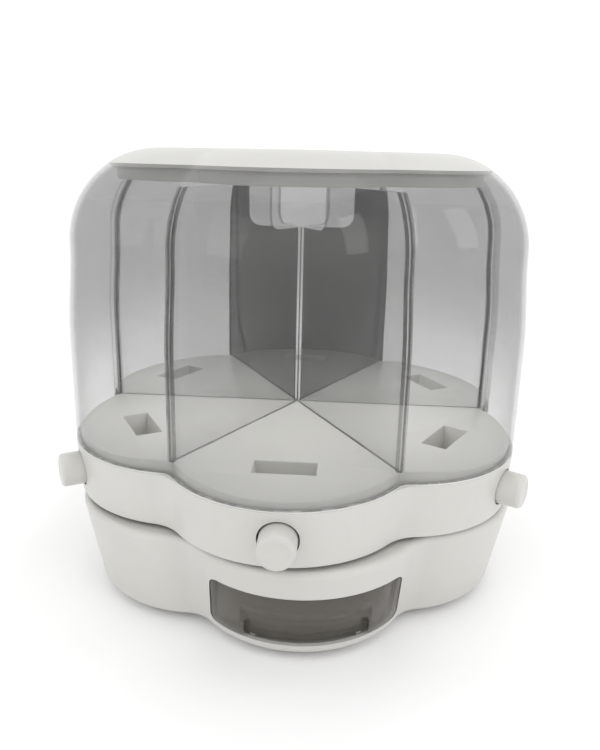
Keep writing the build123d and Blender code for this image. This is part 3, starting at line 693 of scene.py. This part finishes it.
turntable_tray = moulded_copy("tray", "turntable_tray", "turntable", "white_plastic", 0.9 * MM, on_top)
# The drawer's darker second finish: edge-on plastic round the front, and painted shade inside the finger
# recess.
drawer_cup = moulded_copy("drawer", "food_drawer", "drawer_cup", "smoky_brown_drawer", 0.4 * MM,
                          mark=edge_or_painted_recess_shade)

# %% [markdown]
# ## Push buttons and springs
# Each gate is pushed by a round hollow cap that stands out of the skirt. A cap is a turned part, so its whole
# section is drawn once, round rim, wall and socket, and spun about the gate's line of travel.

# %% Buttons
BUTTON_RADIUS = 10.29 * MM
BUTTON_FACE = 162.7 * MM
BUTTON_REAR = BUTTON_FACE - 21.5 * MM
BUTTON_LEVEL = LEDGE - 16.2 * MM


def button_section():
    """(distance out, radius) points, from the middle of the face round the rim to the socket."""
    rim, wall, socket, stem = 2.4 * MM, 2.0 * MM, 5.6 * MM, 4.05 * MM
    face = BUTTON_FACE
    dish = 0.35 * MM
    rim_arc = arc((face - rim, BUTTON_RADIUS - rim), rim, 0, 90, 8)
    inside = face - wall
    flat = BUTTON_RADIUS - rim
    bore = BUTTON_RADIUS - wall
    socket_foot = BUTTON_REAR + 2 * MM
    stem_end = inside - 1 * MM
    return ([(face - dish, 0), (face - dish, flat - 1.6 * MM), (face, flat - 0.9 * MM)]
            + rim_arc
            + [(BUTTON_REAR, BUTTON_RADIUS), (BUTTON_REAR, bore), (inside, bore), (inside, socket),
               (socket_foot, socket), (socket_foot, stem), (stem_end, stem), (stem_end, 0)])


def button(number):
    bm = bmesh.new()
    spun(bm, [(reach, 0, radius) for reach, radius in button_section()], (1, 0, 0), 56)
    bmesh.ops.translate(bm, verts=bm.verts, vec=(0, 0, BUTTON_LEVEL))
    turn_round(bm, bm.verts, FRONT + TURN + number * STEP)
    face_out(bm)
    shade(bm)
    name = f"push_button_{number + 1}"
    return place_piece(into_object(bm, name), f"gate_{number + 1}", "white_plastic", f"button_{number + 1}")


buttons = [button(number) for number in range(LOBES)]

# %% [markdown]
# A return spring sits behind each button. A small circle spun round the spring's axis, moving forward as it
# goes, sweeps out the coil.

# %% Springs
SPRING_RADIUS = 3.4 * MM
SPRING_WIRE = 0.35 * MM
SPRING_COILS = 8
SPRING_SEAT = 70.3 * MM
SPRING_LENGTH = 22.4 * MM
COIL_STEPS = 18


def gate_spring(number):
    bm = bmesh.new()
    wire = bmesh.ops.create_circle(bm, cap_ends=False, radius=SPRING_WIRE, segments=8)["verts"]
    bmesh.ops.rotate(bm, verts=wire, cent=(0, 0, 0), matrix=Matrix.Rotation(QUARTER, 3, "X"))
    bmesh.ops.translate(bm, verts=wire, vec=(SPRING_SEAT + SPRING_WIRE + 0.1 * MM, 0, SPRING_RADIUS))
    steps = SPRING_COILS * COIL_STEPS
    rise = (SPRING_LENGTH - 2 * SPRING_WIRE - 0.2 * MM) / steps
    bmesh.ops.spin(bm, geom=bm.verts[:] + bm.edges[:], cent=(0, 0, 0), axis=(1, 0, 0), dvec=(rise, 0, 0),
                   angle=SPRING_COILS * 2 * pi, steps=steps, use_merge=False, use_duplicate=False)
    bmesh.ops.holes_fill(bm, edges=[edge for edge in bm.edges if edge.is_boundary], sides=8)
    bmesh.ops.translate(bm, verts=bm.verts, vec=(0, 0, BUTTON_LEVEL))
    direction = FRONT + TURN + number * STEP
    turn_round(bm, bm.verts, direction)
    face_out(bm)
    shade(bm, 60)
    made = into_object(bm, f"return_spring_{number + 1}")
    place_piece(made, "turntable", "zinc_steel", f"gate_spring_{number + 1}")
    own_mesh(made)
    return made


springs = [gate_spring(number) for number in range(LOBES)]

# %% [markdown]
# ## Writing finishes
# A finish is a small tree of shader nodes. Two helpers keep it readable. `Value` wraps a node's output, so
# that ordinary arithmetic on it adds Math nodes. `Finish` adds any other node in one call, with its settings
# first and then the values or links of its sockets.

# %% Shader helpers
class Value:
    """A node's output, ready for arithmetic."""

    def __init__(self, finish, socket):
        self.finish = finish
        self.socket = socket

    def math(self, operation, *others, clamp=False):
        return self.finish.calculate(operation, (self, *others), clamp)

    def __add__(self, other):
        return self.math("ADD", other)

    def __sub__(self, other):
        return self.math("SUBTRACT", other)

    def __rsub__(self, other):
        return self.finish.calculate("SUBTRACT", (other, self))

    def __mul__(self, other):
        return self.math("MULTIPLY", other)

    def __pow__(self, other):
        return self.math("POWER", other)

    __radd__ = __add__
    __rmul__ = __mul__

    def clamped(self):
        return self.math("ADD", 0.0, clamp=True)

    def above(self, start, end):
        """0 below START, 1 above END, and smooth between them."""
        values = {"Value": self, "From Min": start, "From Max": end}
        return self.finish.node("MapRange", {"interpolation_type": "SMOOTHSTEP"}, values)


class Finish:
    """A material in the making."""

    def __init__(self, name):
        self.material = bpy.data.materials.new(name)
        self.material.use_nodes = True
        self.tree = self.material.node_tree
        self.tree.nodes.clear()
        self.place = self.node("TexCoord", out="Object")

    def node(self, kind, settings=None, values=None, out=0):
        made = self.tree.nodes.new("ShaderNode" + kind)
        for name, setting in (settings or {}).items():
            setattr(made, name, setting)
        for name, value in (values or {}).items():
            self.feed(made.inputs[name], value)
        return Value(self, made.outputs[out])

    def feed(self, socket, value):
        if isinstance(value, Value):
            self.tree.links.new(value.socket, socket)
        else:
            socket.default_value = value

    def calculate(self, operation, numbers, clamp=False):
        made = self.tree.nodes.new("ShaderNodeMath")
        made.operation = operation
        made.use_clamp = clamp
        for socket, number in zip(made.inputs, numbers):
            self.feed(socket, number)
        return Value(self, made.outputs[0])

    def noise(self, scale, detail=3.0, roughness=0.55, place=None):
        values = {"Vector": place or self.place, "Scale": scale, "Detail": detail, "Roughness": roughness}
        return self.node("TexNoise", {"noise_dimensions": "3D"}, values, "Fac")

    def stretched(self, scale):
        """Object coordinates scaled by different amounts along X, Y and Z."""
        return self.node("Mapping", None, {"Vector": self.place, "Scale": scale})

    def colours(self, share, first, second):
        """Mixes two colours, each a Value or three numbers."""
        mix = self.tree.nodes.new("ShaderNodeMix")
        mix.data_type = "RGBA"
        self.feed(mix.inputs[0], share)
        for number, colour in ((6, first), (7, second)):
            self.feed(mix.inputs[number], colour if isinstance(colour, Value) else (*colour, 1))
        return Value(self, mix.outputs[2])

    def bump(self, height, strength, distance):
        return self.node("Bump", None, {"Height": height, "Strength": strength, "Distance": distance})

    def surface(self, values):
        shader = self.node("BsdfPrincipled", None, values, "BSDF")
        output = self.tree.nodes.new("ShaderNodeOutputMaterial")
        self.feed(output.inputs["Surface"], shader)
        return self.material


# %% [markdown]
# ## White plastic
# The white parts are moulded polypropylene: slightly warm, a soft gloss, and a very fine orange-peel skin.
# Large slow noise keeps the colour from being dead flat, and a thin film of dust gathers near the feet. Fine
# rubbing marks change the gloss more than the colour.

# %% White plastic
def white_plastic():
    finish = Finish("white_plastic")
    mottle = finish.noise(9, 4)
    rub = finish.noise(1, 5, 0.7, finish.stretched((60, 60, 420))).above(0.56, 0.72)
    height = finish.node("SeparateXYZ", None, {"Vector": finish.place}, "Z")
    dust = (1 - height.above(0.0, 0.05)) * finish.noise(45, 5).above(0.35, 0.75)
    clean = finish.colours(mottle.above(0.35, 0.65), (0.545, 0.54, 0.512), (0.575, 0.57, 0.542))
    skin = finish.noise(900, 2, 0.5) + finish.noise(240, 2, 0.5) * 1.5
    return finish.surface({
        "Base Color": finish.colours(dust * 0.3, clean, (0.60, 0.575, 0.52)),
        "Roughness": (0.30 + mottle * 0.12 + rub * 0.12 + dust * 0.2).clamped(),
        "Coat Weight": 0.15,
        "Coat Roughness": 0.12,
        "Normal": finish.bump(skin, 0.12, 0.0002),
    })


# %% [markdown]
# ## Clear plastics
# Thin clear walls look almost invisible face on and darker at a glancing angle, where the eye looks through
# more of the tinted plastic. Real refraction through walls this thin only shifts the view slightly, and it
# would cost clean shadows, so the wall is made see-through by Alpha, which rises with Layer Weight. The
# tank's tint also deepens from the floor to the shoulder. The real moulding isn't known to do so: on a white
# stage an even tint would leave the dome pale or the floor dull, and this brings both nearer to the real ones.

# %% Clear plastic
def clear_plastic(name, tint, face_on, edge_on, power=3.0, deepen=0.0):
    finish = Finish(name)
    glancing = finish.node("LayerWeight", None, {"Blend": 0.5}, "Facing")
    haze = finish.noise(14, 4).above(0.3, 0.8)
    scuffs = finish.noise(1, 4, 0.7, finish.stretched((30, 30, 300))).above(0.6, 0.75)
    darker = tuple(channel * 0.85 for channel in tint)
    height = finish.node("SeparateXYZ", None, {"Vector": finish.place}, "Z")
    body = (1 + height.above(FLOOR + 15 * MM, FLOOR + 90 * MM) * deepen) * face_on
    return finish.surface({
        "Base Color": finish.colours(haze, tint, darker),
        "Roughness": (0.06 + haze * 0.05 + scuffs * 0.12).clamped(),
        "Alpha": (body + glancing**power * (edge_on - face_on) + haze * 0.02 + scuffs * 0.02).clamped(),
        "Coat Weight": 1.0,
        "Coat Roughness": 0.03,
        "Coat IOR": 1.8,
        "Normal": finish.bump(finish.noise(30, 2), 0.05, 0.0005),
    })


# %% Metals, rubber and the quieter plastics
def metal(name, colour, rough):
    finish = Finish(name)
    grain = finish.noise(1, 4, 0.7, finish.stretched((900, 900, 60)))
    blotch = finish.noise(120, 4).above(0.4, 0.7)
    worn = tuple(channel * 0.8 for channel in colour)
    return finish.surface({
        "Base Color": finish.colours(blotch, colour, worn),
        "Metallic": 1.0,
        "Roughness": (rough + blotch * 0.12 + grain * 0.08).clamped(),
        "Normal": finish.bump(grain, 0.08, 0.0001),
    })


def soft_material(name, colour, rough, grain_size, depth):
    finish = Finish(name)
    grain = finish.noise(grain_size, 4, 0.6)
    patch = finish.noise(25, 3).above(0.35, 0.7)
    pale = tuple(min(1, channel * 1.15 + 0.01) for channel in colour)
    return finish.surface({
        "Base Color": finish.colours(patch, colour, pale),
        "Roughness": (rough + grain * 0.15).clamped(),
        "Normal": finish.bump(grain, 0.25, depth),
    })


finishes = {
    "white_plastic": white_plastic(),
    "smoky_clear_tank": clear_plastic("smoky_clear_tank", (0.06, 0.062, 0.058), 0.11, 0.75, 4.5, 1.3),
    "clear_divider": clear_plastic("clear_divider", (0.10, 0.102, 0.097), 0.05, 0.36),
    "clear_edge": clear_plastic("clear_edge", (0.05, 0.051, 0.049), 0.45, 0.85),
    "smoky_brown_drawer": clear_plastic("smoky_brown_drawer", (0.15, 0.135, 0.108), 0.27, 0.85),
    # darker plastic seen edge on, and painted shade inside the drawer's finger recess
    "brown_edge_and_painted_recess_shade": clear_plastic("brown_edge_and_painted_recess_shade", (0.06, 0.05, 0.036), 0.7, 0.95),
    "grey_plastic": soft_material("grey_plastic", (0.42, 0.43, 0.43), 0.45, 500, 0.0001),
    "zinc_steel": metal("zinc_steel", (0.62, 0.63, 0.64), 0.3),
    "ball_steel": metal("ball_steel", (0.7, 0.71, 0.72), 0.08),
    "rubber_feet": soft_material("rubber_feet", (0.035, 0.035, 0.036), 0.65, 700, 0.0002),
    "silicone_seal": soft_material("silicone_seal", (0.62, 0.62, 0.60), 0.4, 300, 0.0001),
}
print("finishes:", ", ".join(finishes))

# %% [markdown]
# ## Putting the finishes on
# New pieces name their slot as they are made. The frame nodes that stay keep the slot that the mechanical
# model gave them, so their material is swapped for the finish of the same name.

# %% Assign the finishes
for piece in list(bpy.data.objects):
    if piece.type != "MESH":
        continue
    if "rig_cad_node" in piece:
        for holder in piece.material_slots:
            slot_name = holder.material.name.split(".")[0]
            holder.material = finishes[slot_name]
    elif piece.material_slots:
        piece.material_slots[0].material = finishes[piece["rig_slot"]]
    else:
        piece.data.materials.append(finishes[piece["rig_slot"]])
dividers.data.materials.append(finishes["clear_edge"])
# The drawer's second finish: darker edge-on plastic, and painted shade in the finger recess.
drawer_cup.data.materials.append(finishes["brown_edge_and_painted_recess_shade"])
print("second finish on", sum(face.material_index for face in drawer_cup.data.polygons), "drawer faces")

# %% [markdown]
# ## Light, floor and camera
# Soft light from large panels suits a glossy white object: it keeps the whites open and lays long gentle
# highlights on the clear shoulder. The floor is plain and pale. One more small panel hides under the lid,
# unseen by the camera and by reflections. No such lamp exists: it only makes up for the light that the
# tinted walls keep from the turntable's floor.

# %% Floor and world
def stage():
    bm = bmesh.new()
    bmesh.ops.create_grid(bm, x_segments=1, y_segments=1, size=4)
    face_out(bm)
    floor = into_object(bm, "floor")
    finish = Finish("studio_floor")
    grain = finish.noise(30, 3)
    floor.data.materials.append(finish.surface({
        "Base Color": finish.colours(grain, (0.95, 0.95, 0.95), (0.96, 0.96, 0.96)),
        "Roughness": 0.8 + grain * 0.1,
    }))


stage()
world = bpy.data.worlds.new("studio")
bpy.context.scene.world = world
world.use_nodes = True
world.node_tree.nodes["Background"].inputs["Color"].default_value = (1.0, 1.0, 1.0, 1)
world.node_tree.nodes["Background"].inputs["Strength"].default_value = 1.1
bpy.context.scene.view_settings.view_transform = "Standard"


# %% Lights
def panel(name, place, target, size, power, seen=True):
    light = bpy.data.lights.new(name, "AREA")
    light.shape = "RECTANGLE"
    light.size, light.size_y = size
    light.energy = power
    holder = bpy.data.objects.new(name, light)
    bpy.context.scene.collection.objects.link(holder)
    holder.location = place
    holder.rotation_mode = "QUATERNION"
    holder.rotation_quaternion = (Vector(target) - Vector(place)).to_track_quat("-Z", "Y")
    holder.visible_camera = seen
    holder.visible_glossy = seen


middle = (0, 0, 0.13)
panel("overhead", (0.1, -0.1, 1.3), middle, (1.2, 0.9), 1.6)
panel("left", (-1.1, -0.7, 0.7), middle, (0.8, 1.0), 1.0)
panel("right", (1.0, -0.9, 0.8), middle, (0.5, 0.9), 1.5)
panel("fill under the lid", (0, 0, NOTCH_BOTTOM), (0, 0, FLOOR), (0.16, 0.16), 0.4, seen=False)


# %% Camera
def camera(place, azimuth, pitch, roll):
    """Looks along +Y at azimuth 0, PITCH degrees downwards."""
    turn, tip, lean = radians(azimuth), radians(pitch), radians(roll)
    back = Vector((sin(turn) * cos(tip), -cos(turn) * cos(tip), sin(tip)))
    right = Vector((cos(turn), sin(turn), 0))
    up = back.cross(right)
    right, up = cos(lean) * right + sin(lean) * up, cos(lean) * up - sin(lean) * right
    data = bpy.data.cameras.new("camera")
    holder = bpy.data.objects.new("camera", data)
    bpy.context.scene.collection.objects.link(holder)
    holder.rotation_mode = "QUATERNION"
    holder.rotation_quaternion = Matrix((right, up, back)).transposed().to_quaternion()
    holder.location = place
    bpy.context.scene.camera = holder
    return data


view = camera((-0.0273, -0.4632, 0.2703), -3.43, 15.63, 1.29)
view.sensor_width = 36
view.lens = 33.22
view.shift_x = 0.0011
view.shift_y = -0.031
view.clip_start = 0.01
